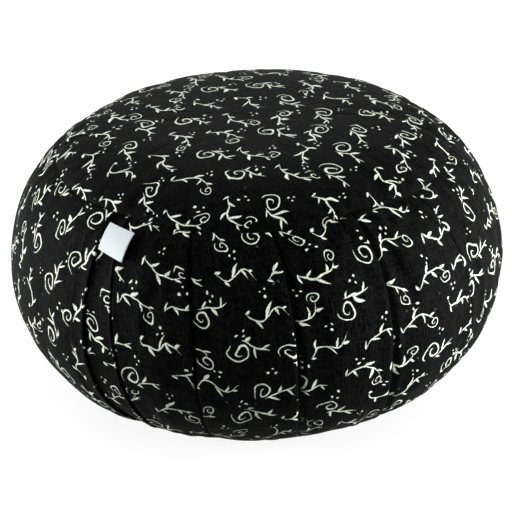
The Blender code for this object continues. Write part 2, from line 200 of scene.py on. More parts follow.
def wander(azimuth, seamDistance):
    slide = 0.0
    for bump in seamWander:
        slide = slide + bump.slide * mm * fade(turnedApart(azimuth, bump.azimuth), bump.wide)
    return slide * fade(seamDistance, form.wanderFade)


def around(azimuth, radius, z):
    angle = np.radians(azimuth)
    return np.stack([radius * np.sin(angle), -radius * np.cos(angle), z + 0.0 * angle], axis=-1)


def sectionPath(fromHeight, toHeight, samples=4000):
    # the form's section as height, radius and length of cloth from the girth
    share = 0.5 - 0.5 * np.cos(np.pi * np.arange(samples + 1) / samples)
    height = fromHeight + (toHeight - fromHeight) * share
    rise = np.where(height > 0.0, form.crownRise, form.baseRise)
    radius = sectionRadius(height, rise)
    length = np.concatenate([[0.0], np.cumsum(np.hypot(np.diff(radius), np.diff(height)))])
    return height, radius, length - np.interp(0.0, height, length)


def surfacePoint(azimuth, row, depth):
    # a point this far below the uneven form, in a row's section; the depth is taken level
    slide = wander(azimuth, row.seamDistance) if row.height > 0.0 else 0.0
    depth = depth + gathers(azimuth, row.nearestSeam, row.cloth)
    inward = (depth + unevenness(azimuth, row.height)) / row.out
    z = girthHeight + row.drawnHeight + slide * row.out + row.clear
    return lumps(around(azimuth, row.drawnRadius - slide * row.up - inward, z))


def bandRows(count, crowd=0.62):
    # rows at even steps of cloth, closer together beside the seams
    height, radius, length = sectionPath(bottomSeamHeight, topSeamHeight)
    share = np.arange(count + 1) / count
    share = share - crowd * np.sin(2.0 * np.pi * share) / (2.0 * np.pi)
    rows = []
    for at in length[0] + (length[-1] - length[0]) * share:
        rows.append(bandRow(float(np.interp(at, length, height)), at))
        rows[-1].seamCloth = min(at - length[0], length[-1] - at)
    rows[0].clear = form.pieceGap / 2.0
    rows[-1].clear = -form.pieceGap / 2.0
    return rows


def bandRow(height, clothHeight):
    # the form at one height, with the stitches' pull and what a pleat does there
    rise = form.crownRise if height > 0.0 else form.baseRise
    radius = float(sectionRadius(height, rise))
    out, up = (float(share) for share in sectionNormal(radius, height, rise))
    dip = float(seamDip(radius, height, rise))
    topAway = math.hypot(radius - form.seamRadius, height - topSeamHeight)
    bottomAway = math.hypot(radius - form.seamRadius, height - bottomSeamHeight)
    nearest = min(topAway, bottomAway)
    return Named(
        height=height,
        cloth=clothHeight,
        radius=radius,
        drawnRadius=radius - dip * out,
        drawnHeight=height - dip * up,
        out=out,
        up=abs(up),
        down=(topSeamHeight - height) / (topSeamHeight - bottomSeamHeight),
        seamDistance=topAway,
        nearestSeam=nearest,
        opening=1.0 - fade(nearest, foldClose),
        clear=0.0,
    )


# Section across a knife pleat in mm, as it stands open at the girth and lies caught in a seam, with
# the share held by its stitches, 1 where the print is left off as painted shade inside the fold, and
# the number of steps to the next point
foldClose = 0.020  # metres from a seam in which a fold closes
foldSection = tableOf(
    "point along depth seamAlong seamDepth held tucked steps",
    ("shoulder", -15.0, 0.0, -13.0, 0.0, 0.0, 0.0, 3),
    ("roll", -4.5, -0.5, -5.0, -0.1, 0.7, 0.0, 3),
    ("edge", -0.6, -0.1, -0.7, 0.1, 1.0, 0.0, 2),
    ("lip", 0.1, 0.9, -0.1, 0.7, 1.0, 1.0, 2),
    ("pocket", -1.8, 2.3, 0.1, 1.4, 1.0, 1.0, 2),
    ("heel", -0.2, 3.3, 0.6, 1.7, 1.0, 1.0, 1),
    ("floor", 1.2, 3.0, 1.2, 1.5, 1.0, 1.0, 1),
    ("rise", 2.1, 1.7, 1.9, 0.8, 1.0, 0.0, 2),
    ("valley", 4.5, 1.1, 4.5, 0.5, 0.95, 0.0, 2),
    ("slope", 10.0, 0.6, 9.0, 0.3, 0.5, 0.0, 3),
    ("ease", 20.0, 0.1, 18.0, 0.0, 0.0, 0.0, 12),
)
pointsUnderFlap = 5  # the last pleat goes no further than its pocket, where the flap starts
backPoints, frontPoints = ("shoulder", "roll"), ("slope", "ease")
softPoints = ("valley", *frontPoints)
# How far a point goes along and down for each mm that the slit is wider than 1 mm
widens = {"floor": (0.9, 0.5), "rise": (1.3, 0.9), "valley": (1.4, 0.1)}
fullPitch = 20.7  # degrees between two pleats that leave each fold its full length


def smoothThrough(points, steps):
    # a rounded line through the points, with a number of steps for each stretch between two
    points = np.asarray(points, float)
    before = np.vstack([2.0 * points[0] - points[1], points, 2.0 * points[-1] - points[-2]])
    line = []
    for index, count in enumerate(steps):
        a, b, c, d = before[index:index + 4]
        knots = np.cumsum([0.0] + [max(np.linalg.norm(q - p), 1e-9) ** 0.5
                                   for p, q in ((a, b), (b, c), (c, d))])
        t = (knots[1] + (knots[2] - knots[1]) * np.arange(count) / count)[:, None]

        def mixed(p, q, start, end):
            return ((end - t) * p + (t - start) * q) / (end - start)

        first = mixed(a, b, knots[0], knots[1])
        second = mixed(b, c, knots[1], knots[2])
        third = mixed(c, d, knots[2], knots[3])
        left = mixed(first, second, knots[0], knots[2])
        right = mixed(second, third, knots[1], knots[3])
        line.append(mixed(left, right, knots[1], knots[2]))
    return np.vstack(line + [points[-1:]])


# The band's bed under the flap and beside its free edge, in mm from the flap's root or free edge; the
# print is left off under the flap and just past its free edge, as painted shade
bedSection = tableOf(
    "point start along depth held tucked steps",
    ("tuck", "root", 0.9, 3.2, 1.0, 1.0, 2),
    ("climb", "root", 8.0, 2.4, 1.0, 1.0, 14),
    ("under", "edge", -12.0, 1.9, 1.0, 1.0, 2),
    ("near", "edge", -3.5, 1.9, 1.0, 1.0, 2),
    ("hem", "edge", -0.6, 1.9, 1.0, 1.0, 2),
    ("edge", "edge", 1.6, 1.9, 1.0, 0.0, 2),
    ("valley", "edge", 4.0, 2.1, 1.0, 0.0, 2),
    ("slope", "edge", 8.0, 1.0, 0.4, 0.0, 4),
)
# The cloth's pitch is its length in metres from one pleat to the next, with what hides in the fold
band = Named(rows=56, clothPitch=0.081, seamHold=0.004, shrink=-0.02, cap=0.004, bending=0.2)


def rolledOver(section, row):
    # the fold's section goes over into its mirror image further down
    share = (row.down - rollOver.start) / (rollOver.end - rollOver.start)
    share = float(np.clip(share, 0.0, 1.0)) * row.opening
    mirrored = section[::-1] * (-1.0, 1.0)
    return section + (mirrored - section) * share ** 2 * (3.0 - 2.0 * share)


def flapEnds(row, perMm):
    # how far round the flap's root and its free edge lie in this row, in mm
    return {"root": float(foldAzimuth(pleats[-1], row.down)) / perMm,
            "edge": float(foldAzimuth(flapEdge, row.down)) / perMm}


def bandLine(row):
    # azimuth, depth, length of cloth round the band and share held by its stitches, column by column
    columns = []
    perMm = math.degrees(mm / row.radius)
    for index, pleat in enumerate(pleats):
        before = pleats[index - 1].azimuth if index else flapEdge.azimuth - 360.0
        after = pleats[index + 1].azimuth if index + 1 < len(pleats) else flapEdge.azimuth
        at = float(foldAzimuth(pleat, row.down)) / perMm
        gap = pleat.gaps[0] + (pleat.gaps[1] - pleat.gaps[0]) * row.down - 1.0
        section = []
        for part in foldSection:
            along = part.seamAlong + (part.along - part.seamAlong) * row.opening
            depth = part.seamDepth + (part.depth - part.seamDepth) * row.opening
            wider, deeper = widens.get(part.point, (0.0, 0.0))
            along, depth = along + wider * gap * row.opening, depth + deeper * gap * row.opening
            if part.point in backPoints:
                along *= min(1.0, (pleat.azimuth - before) / fullPitch)
            if part.point in frontPoints:
                along *= min(1.0, (after - pleat.azimuth) / fullPitch)
            strength = pleat.depth ** 3 if part.point in softPoints else pleat.depth
            strength *= rollSwell.get(index, 1.0) if part.point == "roll" else 1.0
            section.append((along, depth * strength))
        if index == rollOver.pleat:
            section = rolledOver(np.array(section), row)
        count = pointsUnderFlap if index + 1 == len(pleats) else len(foldSection)
        for (along, depth), part in zip(section[:count], foldSection):
            columns.append((at + along, depth, (part.point, index), part))
    ends = flapEnds(row, perMm)
    for part in bedSection:
        columns.append((ends[part.start] + part.along, part.depth, (part.point, -1), part))
    columns.append((columns[0][0] + 360.0 / perMm, columns[0][1], None, foldSection[0]))
    along, depth, marks, parts = zip(*columns)
    steps = [part.steps for part in parts[:-1]]
    line = smoothThrough(list(zip(along, depth)), steps)
    starts = np.concatenate([[0], np.cumsum(steps)])
    held, tucked = (np.interp(np.arange(len(line)), starts, [getattr(part, name) for part in parts])[:-1]
                    for name in ("held", "tucked"))
    return {"azimuth": line[:-1, 0] * perMm, "depth": line[:-1, 1] * mm, "held": held, "tucked": tucked,
            "cloth": bandCloth(line, starts, marks, row, perMm)}


def bandCloth(line, starts, marks, row, perMm):
    # true lengths from the middle of each stretch between two pleats; the rest hides in the folds
    column = dict(zip(marks, starts))
    known, cloth = [], []
    for index in range(-1, len(pleats) - 1):
        there = foldAzimuth(pleats[index + 1], row.down)
        here = foldAzimuth(pleats[index], row.down) if index >= 0 else there - fullPitch
        first = column[("floor", index)] if index >= 0 else 0
        last = column[("lip", index + 1)]
        middle = 0.5 * float(here + there) / perMm
        known += list(range(first, last + 1))
        cloth += list((index + 1.5) * band.clothPitch + (line[first:last + 1, 0] - middle) * mm)
    after = np.arange(column[("hem", -1)], len(line))
    known += list(after)
    cloth += list(cloth[0] + (line[after, 0] - line[-1, 0]) * mm)
    return np.interp(np.arange(len(line)), known, cloth)


def sewGrid(name, rings, cloth, closed=True):
    # rings of points, lowest first, joined by faces that look outwards, with their places on the cloth
    count, levels = len(rings[0]), len(rings)
    here = np.arange(count if closed else count - 1)
    after = (here + 1) % count
    faces, places = [], []
    for level in range(levels - 1):
        base, above = level * count, (level + 1) * count
        faces += np.stack([base + here, base + after, above + after, above + here], axis=1).tolist()
        low, high = cloth[level:level + 2]
        places.append(np.stack([low[here], low[here + 1], high[here + 1], high[here]], axis=1).reshape(-1, 2))
    mesh = bpy.data.meshes.new(name)
    mesh.from_pydata(np.vstack(rings).tolist(), [], faces)
    mesh.uv_layers.new(name="cloth").data.foreach_set("uv", np.vstack(places).astype(np.float32).ravel())
    piece = bpy.data.objects.new(name, mesh)
    bpy.context.scene.collection.objects.link(piece)
    return piece


ringHeight = 0.012  # an open ring's points lie within this of its height


def closeEnd(piece, height, hidden):
    # a fan closes the open ring at this height; a hidden one stays crisp at its stitches
    bm = bmesh.new()
    bm.from_mesh(piece.data)
    cloth = bm.loops.layers.uv.verify()
    rim = [edge for edge in bm.edges if edge.is_boundary and abs(edge.verts[0].co.z - height) < ringHeight]
    tip = bm.verts.new((0.0, 0.0, height))
    for edge in rim:
        known = edge.link_loops[0]
        after = known.link_loop_next
        places = {known.vert: known[cloth].uv.copy(), after.vert: after[cloth].uv.copy()}
        face = bm.faces.new((after.vert, known.vert, tip))
        face.smooth = True
        for loop in face.loops:
            loop[cloth].uv = places.get(loop.vert, (0.0, 0.0))
        edge.smooth = not hidden
    bm.to_mesh(piece.data)
    bm.free()


def vertexPlaces(mesh):
    places = np.zeros(len(mesh.vertices) * 3)
    mesh.vertices.foreach_get("co", places)
    return places.reshape(-1, 3)


def applyModifiers(piece):
    bpy.ops.object.select_all(action="DESELECT")
    piece.select_set(True)
    bpy.context.view_layer.objects.active = piece
    for modifier in list(piece.modifiers):
        bpy.ops.object.modifier_apply(modifier=modifier.name)


def addWall(piece, thickness):
    wall = piece.modifiers.new("wall", "SOLIDIFY")
    wall.thickness, wall.offset = thickness, -1.0


def roundOff(piece):
    smoother = piece.modifiers.new("smoother", "SUBSURF")
    smoother.levels = smoother.render_levels = 1
    smoother.uv_smooth = "NONE"
    applyModifiers(piece)
    piece.data.shade_smooth()


# What the filling does to every piece that it pushes on
filling = Named(pressure=4.0, mass=0.3, frames=20, quality=5, tension=15.0, shear=5.0)


def pushOut(piece, held, sewn):
    # the filling's pressure swells the cloth between its stitches, where held is below 1; the
    # form is full size already, so each ring keeps its mean size and only the relief stays
    levels, held = len(held), np.concatenate(held)
    scene = bpy.context.scene
    start = vertexPlaces(piece.data)
    group = piece.vertex_groups.new(name="held")
    for level in np.unique(np.round(held, 2)):
        if level > 0.0:
            group.add(np.flatnonzero(np.round(held, 2) == level).tolist(), float(level), "REPLACE")
    cloth = piece.modifiers.new("filling", "CLOTH")
    settings = cloth.settings
    settings.quality = filling.quality
    settings.mass = filling.mass
    settings.tension_stiffness = filling.tension
    settings.compression_stiffness = filling.tension
    settings.shear_stiffness = filling.shear
    settings.bending_stiffness = sewn.bending
    settings.vertex_group_mass = "held"
    settings.pin_stiffness = 1.0
    settings.shrink_min = sewn.shrink
    settings.use_pressure = True
    settings.uniform_pressure_force = filling.pressure
    settings.effector_weights.gravity = 0.0
    cloth.collision_settings.use_collision = False
    cloth.point_cache.frame_start, cloth.point_cache.frame_end = 1, filling.frames
    for number in range(1, filling.frames + 1):
        scene.frame_set(number)
    settled = piece.evaluated_get(bpy.context.evaluated_depsgraph_get())
    end = vertexPlaces(settled.data)
    piece.modifiers.remove(cloth)
    scene.frame_set(1)
    moved = end - start
    length = np.linalg.norm(moved, axis=1, keepdims=True)
    moved *= np.minimum(1.0, sewn.cap / np.maximum(length, 1e-9))
    outward = start * (1.0, 1.0, 0.0)
    outward /= np.maximum(np.linalg.norm(outward, axis=1, keepdims=True), 1e-9)
    free = (1.0 - held).reshape(levels, -1)
    for direction in (outward, np.array([[0.0, 0.0, 1.0]])):
        along = (moved * direction).sum(axis=1).reshape(levels, -1)
        mean = (along * free).sum(axis=1) / np.maximum(free.sum(axis=1), 1e-9)
        moved -= np.repeat(mean, free.shape[1])[:, None] * direction
    places = start + moved * (1.0 - held[:, None])
    piece.data.vertices.foreach_set("co", places.astype(np.float32).ravel())
    piece.data.update()
    print("filling pushed out", piece.name, "by up to", round(float(length.max()) / mm, 2), "mm, mostly",
          round(float(np.median(length)) / mm, 2), "mm")


def sewBand():
    rows = bandRows(band.rows)
    rings, cloth, held, tucked = [], [], [], []
    for row in rows:
        line = bandLine(row)
        rings.append(surfacePoint(line["azimuth"], row, line["depth"]))
        cloth.append(np.stack([line["cloth"], np.full(len(line["cloth"]), row.cloth)], axis=1))
        held.append(np.maximum(line["held"], fade(row.seamCloth, band.seamHold)))
        tucked.append(line["tucked"])
    piece = sewGrid("pleated_band", rings, cloth)
    # painted shade: the print is left off where this is 1, in the folds' slits and under the flap's edge
    piece.data.attributes.new("tucked", "FLOAT", "POINT").data.foreach_set("value", np.concatenate(tucked))
    pushOut(piece, held, band)
    roundOff(piece)
    for row in (rows[0], rows[-1]):
        closeEnd(piece, girthHeight + row.drawnHeight + row.clear, True)
    return piece


# Rings of the round panels lie closer together beside the seam
roundPanel = Named(columns=240, rings=34, crowd=1.6, puckerDepth=0.0007, puckerReach=0.016, puckerWide=3.2,
                   topTurn=52.0, baseTurn=12.0, seamHold=0.004, middleHold=0.03, shrink=-0.012, cap=0.003,
                   bending=0.3)


def pucker(azimuth, inFromSeam, down):
    nearest = np.min([np.abs(turnedApart(azimuth, foldAzimuth(pleat, down))) for pleat in pleats], axis=0)
    inward = 2.0 * inFromSeam / roundPanel.puckerReach
    return (roundPanel.puckerDepth * fade(nearest, roundPanel.puckerWide) * inward * np.exp(1.0 - inward))


def sewRoundPanel(name, side, turn):
    # a round panel from its seam to the crown above, or with side -1 to the rest flat below
    seamHeight = topSeamHeight if side > 0 else bottomSeamHeight
    farHeight = form.crownRise if side > 0 else -girthHeight
    height, radius, length = sectionPath(seamHeight, farHeight)
    length = length - length[0]
    flat = float(radius[-1])
    azimuth = 360.0 * np.arange(roundPanel.columns + 1) / roundPanel.columns
    rings, cloth, held = [], [], []
    shares = (np.arange(roundPanel.rings) / roundPanel.rings) ** roundPanel.crowd
    shares = shares if side > 0 else np.append(shares, 1.0)
    for share in shares:
        away = length[-1] * share
        row = bandRow(float(np.interp(away, length, height)), away)
        slide = wander(azimuth, row.seamDistance) if side > 0 else 0.0
        lower = pucker(azimuth, form.seamRadius - row.radius, 0.0 if side > 0 else 1.0)
        lower = lower + gathers(azimuth, row.nearestSeam, away)
        clear = form.pieceGap / 2.0 if share == 0.0 else 0.0
        z = girthHeight + row.drawnHeight + side * (slide * row.out + clear - lower)
        ring = lumps(around(azimuth, row.drawnRadius - slide * row.up, z)[:-1])
        if side < 0:
            ring[:, 2] = np.maximum(ring[:, 2], 0.0) if share < 1.0 else 0.0
        rings.append(ring)
        still = max(fade(away, roundPanel.seamHold), fade(length[-1] - away, roundPanel.middleHold))
        held.append(np.full(roundPanel.columns, still))
        reach = length[-1] - away + (flat if side < 0 else 0.0)
        angle = np.radians(azimuth + turn)
        cloth.append(np.stack([reach * np.sin(angle), -reach * np.cos(angle) * side], axis=1))
    piece = sewGrid(name, rings[::side], cloth[::side])
    pushOut(piece, held[::side], roundPanel)
    roundOff(piece)
    closeEnd(piece, girthHeight + seamHeight + side * form.pieceGap / 2.0, True)
    closeEnd(piece, girthHeight + farHeight, False)
    return piece


# The flap's section in mm from its root and from its free edge, at its outer face
flap = Named(thickness=0.0016, start=((0.9, 1.3), (8.0, 0.5)), end=((-12.0, 0.0), (-3.5, -0.4), (-0.6, -0.1)),
             steps=(2, 60, 3, 2), seamHold=0.004, edgeHold=0.006, shrink=-0.015, cap=0.003, bending=0.3)


def sewFlap():
    points, places, held = [], [], []
    for row in bandRows(band.rows):
        perMm = math.degrees(mm / row.radius)
        ends = flapEnds(row, perMm)
        section = [(ends["root"] + along, depth) for along, depth in flap.start]
        section += [(ends["edge"] + along, depth) for along, depth in flap.end]
        line = smoothThrough(section, flap.steps)
        points.append(surfacePoint(line[:, 0] * perMm, row, line[:, 1] * mm))
        places.append(np.stack([np.full(len(line), row.cloth), (ends["edge"] - line[:, 0]) * mm], axis=1))
        sideAway = np.minimum(line[:, 0] - line[0, 0], line[-1, 0] - line[:, 0]) * mm
        held.append(np.maximum(fade(row.seamCloth, flap.seamHold), fade(sideAway, flap.edgeHold)))
    piece = sewGrid("lapped_flap", points, places, closed=False)
    pushOut(piece, held, flap)
    addWall(piece, flap.thickness)
    roundOff(piece)
    return piece


# The tag's top and foot are its drop along the cloth from the top seam, at its sewn and its free side
tag = Named(width=0.0235, top=(0.0079, 0.0062), foot=(0.0269, 0.0281), thickness=0.0008, clearance=0.0005,
            stand=0.0003, rise=0.0030, risePower=1.1, bow=0.0005, columns=24, rows=21, edgeRound=0.00015)


def sewTag():
    # a stiff woven square, caught by its left side; its free side stands off the band
    height, radius, length = sectionPath(topSeamHeight, bottomSeamHeight)
    length = length - length[0]
    points, places = [], []
    for rowShare in np.arange(tag.rows + 1) / tag.rows:
        for share in np.arange(tag.columns + 1) / tag.columns:
            top, foot = (ends[0] + (ends[1] - ends[0]) * share for ends in (tag.top, tag.foot))
            away = top + (foot - top) * rowShare
            row = bandRow(float(np.interp(away, length, height)), away)
            row.nearestSeam = 0.0
            along = tag.clearance + tag.width * share
            azimuth = float(foldAzimuth(flapEdge, row.down)) + math.degrees(along / row.radius)
            stand = tag.stand + tag.rise * share ** tag.risePower
            stand += tag.bow * math.sin(math.pi * rowShare)
            points.append(surfacePoint(np.array([azimuth]), row, -stand)[0])
            places.append((along, -away))
    points, places = (np.array(values).reshape(tag.rows + 1, tag.columns + 1, -1)[::-1]
                      for values in (points, places))  # lowest row first
    piece = sewGrid("sewn_tag", list(points), list(places), closed=False)
    addWall(piece, tag.thickness)
    softEdge = piece.modifiers.new("softEdge", "BEVEL")
    softEdge.width, softEdge.segments, softEdge.limit_method = tag.edgeRound, 2, "ANGLE"
    applyModifiers(piece)
    piece.data.shade_smooth()
    return piece


def linearColour(hexColour):
    channels = [int(hexColour[start:start + 2], 16) / 255.0 for start in (1, 3, 5)]
    return tuple(c / 12.92 if c <= 0.04045 else ((c + 0.055) / 1.055) ** 2.4 for c in channels) + (1.0,)


def addNode(tree, kind, *inputs, output=0, **settings):
    # inputs in socket order: a number or colour is set, another node's output is linked, None is left
    node = tree.nodes.new("ShaderNode" + kind)
    for name, value in settings.items():
        setattr(node, name, value)
    for socket, value in zip(node.inputs, inputs):
        if isinstance(value, bpy.types.NodeSocket):
            tree.links.new(value, socket)
        elif value is not None:
            socket.default_value = value
    return node.outputs[output]


def startMaterial(name, colour, roughness, specular):
    material = bpy.data.materials.new(name)
    material.use_nodes = True
    tree = material.node_tree
    shader = tree.nodes["Principled BSDF"]
    shader.inputs["Base Color"].default_value = linearColour(colour)
    shader.inputs["Roughness"].default_value = roughness
    shader.inputs["Specular IOR Level"].default_value = specular
    return material, tree, shader


def placeOnCloth(tree):
    # in mm, from the piece's own UV map
    cloth = addNode(tree, "UVMap", uv_map="cloth")
    return addNode(tree, "VectorMath", cloth, (1.0 / mm,) * 3, operation="MULTIPLY")


def followSteps(tree, kind, values, steps):
    # one node for each step: the result's name, the operation, then names of earlier results or numbers
    for name, operation, *terms in steps:
        inputs = [values[term] if isinstance(term, str) else term for term in terms]
        values[name] = addNode(tree, kind, *inputs, operation=operation)


# The print, in mm: cream sprigs scattered in brick order, each turned and nudged a little. A chance
# below arched or above curled gives those two motifs, and one between them the wavy one.
sprigPrint = Named(cellWide=30.0, cellTall=21.5, nudgeWide=2.4, nudgeTall=1.6, turn=0.98, arched=0.38,
                   curled=0.70, size=1.22, wobble=4.2, wobbleSize=9.0, rough=0.55, roughSize=0.9, edge=0.22)


def cellSteps(shiftWide, shiftTall):
    wide, tall = sprigPrint.cellWide, sprigPrint.cellTall
    return [
        ("shiftedU", "ADD", "u", shiftWide),
        ("shiftedV", "ADD", "v", shiftTall),
        ("rowPlace", "DIVIDE", "shiftedV", tall),
        ("row", "FLOOR", "rowPlace"),
        ("odd", "FLOORED_MODULO", "row", 2.0),
        ("brick", "MULTIPLY_ADD", "odd", wide / 2.0, "shiftedU"),
        ("columnPlace", "DIVIDE", "brick", wide),
        ("column", "FLOOR", "columnPlace"),
    ]


def middleSteps(nudge):
    wide, tall = sprigPrint.cellWide, sprigPrint.cellTall
    nudgeWide, nudgeTall = sprigPrint.nudgeWide * nudge, sprigPrint.nudgeTall * nudge
    return [
        ("across", "MULTIPLY_ADD", "column", -wide, "brick"),
        ("nudged", "MULTIPLY_ADD", "red", -2.0 * nudgeWide, "across"),
        ("x", "ADD", "nudged", nudgeWide - wide / 2.0),
        ("down", "MULTIPLY_ADD", "row", -tall, "shiftedV"),
        ("lifted", "MULTIPLY_ADD", "green", -2.0 * nudgeTall, "down"),
        ("y", "ADD", "lifted", nudgeTall - tall / 2.0),
    ]


def findCell(tree, place, shifts, nudge, turnSteps):
    # the cell of the brick pattern around a place, its own chances, and the place from its middle
    cell = dict(place)
    followSteps(tree, "Math", cell, cellSteps(*shifts))
    corner = addNode(tree, "CombineXYZ", cell["column"], cell["row"])
    chance = addNode(tree, "TexWhiteNoise", corner, noise_dimensions="2D").node
    cell["luck"] = chance.outputs["Value"]
    colours = addNode(tree, "SeparateColor", chance.outputs["Color"]).node
    cell["red"], cell["green"], cell["kind"] = colours.outputs
    followSteps(tree, "Math", cell, middleSteps(nudge) + turnSteps)
    spot = addNode(tree, "CombineXYZ", cell["x"], cell["y"])
    cell["spot"] = addNode(tree, "VectorRotate", spot, None, None, cell["turn"], rotation_type="Z_AXIS")
    return cell


# Stem and leaves along a line, in mm: s runs along it and d stands off it; a leaf is fullest near its
# root, and the leaves are smaller towards the ends
farOff = 9.0  # a distance that is off every line
stem = Named(half=12.0, wide=0.41, taperPower=3.0)
leaf = Named(pitch=5.0, long=6.6, wide=0.80, full=5.0, taper=2.0, lean=math.radians(52.0), back=1.6,
             shrink=0.42, cut=1.5, last=0.99)
sprigSteps = [
    ("sideways", "ABSOLUTE", "s"),
    ("share", "DIVIDE", "sideways", "half"),
    ("taper", "POWER", "share", stem.taperPower),
    ("stemHalf", "MULTIPLY_ADD", "taper", -stem.wide, stem.wide),
    ("offStem", "ABSOLUTE", "d"),
    ("pastEnd", "GREATER_THAN", "share", 1.0),
    ("stemEdge", "SUBTRACT", "offStem", "stemHalf"),
    ("stem", "MULTIPLY_ADD", "pastEnd", farOff, "stemEdge"),
    ("leafPlace", "DIVIDE", "s", leaf.pitch),
    ("leafNumber", "ROUND", "leafPlace"),
    ("leafAt", "MULTIPLY_ADD", "leafNumber", -leaf.pitch, "s"),
    ("leafU", "ADD", "leafAt", leaf.back),
    ("leafOdd", "FLOORED_MODULO", "leafNumber", 2.0),
    ("leafSide", "MULTIPLY_ADD", "leafOdd", -2.0, 1.0),
    ("leafV", "MULTIPLY", "d", "leafSide"),
    ("leafFrom", "MULTIPLY", "leafNumber", leaf.pitch),
    ("leafOut", "ABSOLUTE", "leafFrom"),
    ("leafShare", "DIVIDE", "leafOut", "half"),
    ("leafSize", "MULTIPLY_ADD", "leafShare", -leaf.shrink, 1.0),
    ("leafA1", "MULTIPLY", "leafU", math.cos(leaf.lean)),
    ("leafA2", "MULTIPLY_ADD", "leafV", math.sin(leaf.lean), "leafA1"),
    ("leafB1", "MULTIPLY", "leafU", -math.sin(leaf.lean)),
    ("leafB2", "MULTIPLY_ADD", "leafV", math.cos(leaf.lean), "leafB1"),
    ("leafB", "DIVIDE", "leafB2", "leafSize"),
    ("leafA", "DIVIDE", "leafA2", "leafSize"),
    ("leafRaw", "DIVIDE", "leafA", leaf.long),
    ("leafQ", "MINIMUM", "leafRaw", leaf.cut),
    ("leafRest", "SUBTRACT", 1.0, "leafQ"),
    ("leafBow", "MULTIPLY", "leafQ", "leafRest"),
    ("leafFull", "MULTIPLY_ADD", "leafQ", -leaf.taper * leaf.wide, leaf.full * leaf.wide),
    ("leafHalf", "MULTIPLY", "leafBow", "leafFull"),
    ("leafOff", "ABSOLUTE", "leafB"),
    ("leafEdge", "SUBTRACT", "leafOff", "leafHalf"),
    ("noLeaf", "GREATER_THAN", "leafShare", leaf.last),
    ("leaf", "MULTIPLY_ADD", "noLeaf", farOff, "leafEdge"),
    ("sprig", "MINIMUM", "stem", "leaf"),
]

# A tendril that winds outwards from (curlX, curlY), thickest near its outer end, in mm and in turns
curl = Named(step=3.7, inner=0.5, first=0.1, last=1.55, wide=0.57, swell=(2.6, 1.4), before=-0.4)
curlSteps = [
    ("curlRound", "ARCTAN2", "curlY", "curlX"),
    ("curlTurn", "DIVIDE", "curlRound", 2.0 * math.pi),
    ("curlX2", "MULTIPLY", "curlX", "curlX"),
    ("curlR2", "MULTIPLY_ADD", "curlY", "curlY", "curlX2"),
    ("curlR", "SQRT", "curlR2"),
    ("curlStood", "SUBTRACT", "curlR", curl.inner),
    ("curlWound", "DIVIDE", "curlStood", curl.step),
    ("curlGuess", "SUBTRACT", "curlWound", "curlTurn"),
    ("curlWhole", "ROUND", "curlGuess"),
    ("curlTotal", "ADD", "curlTurn", "curlWhole"),
    ("curlMiss", "SUBTRACT", "curlWound", "curlTotal"),
    ("curlOff", "ABSOLUTE", "curlMiss"),
    ("curlFar", "MULTIPLY", "curlOff", curl.step),
    ("curlBegun", "SUBTRACT", "curlTotal", curl.first),
    ("curlGone", "DIVIDE", "curlBegun", curl.last - curl.first),
    ("curlShare", "MAXIMUM", "curlGone", curl.before),
    ("curlLeft", "SUBTRACT", 1.0, "curlShare"),
    ("curlBow", "MULTIPLY", "curlShare", "curlLeft"),
    ("curlSwell", "MULTIPLY_ADD", "curlShare", *curl.swell),
    ("curlBody", "MULTIPLY", "curlBow", "curlSwell"),
    ("curlReal", "MAXIMUM", "curlBody", 0.0),
    ("curlRoot", "SQRT", "curlReal"),
    ("curlHalf", "MULTIPLY", "curlRoot", curl.wide),
    ("curlInside", "GREATER_THAN", "curlBow", 0.0),
    ("curlOutside", "SUBTRACT", 1.0, "curlInside"),
    ("curlEdge", "SUBTRACT", "curlFar", "curlHalf"),
    ("curl", "MULTIPLY_ADD", "curlOutside", farOff, "curlEdge"),
]

# Three motifs by chance, in mm from the cell's middle: a bowed sprig with a small curl at its end, a
# wavy sprig without one, and a large curl with a short sprig for its tail
motifs = Named(archRadius=14.0, archLift=11.0, endAt=(10.6, -4.6), endSize=0.70, waveLong=22.0, waveTall=3.0,
               noCurl=99.0, bigAt=(-3.5, 0.5), tailAt=(4.2, -4.9), tailHalf=8.5)


def chosenSteps(name, arched, wavy, curled):
    # the value that goes with the motif in this cell
    return [
        (name + "Arched", "MULTIPLY", "isArched", arched),
        (name + "Wavy", "MULTIPLY_ADD", "isWavy", wavy, name + "Arched"),
        (name, "MULTIPLY_ADD", "isCurled", curled, name + "Wavy"),
    ]


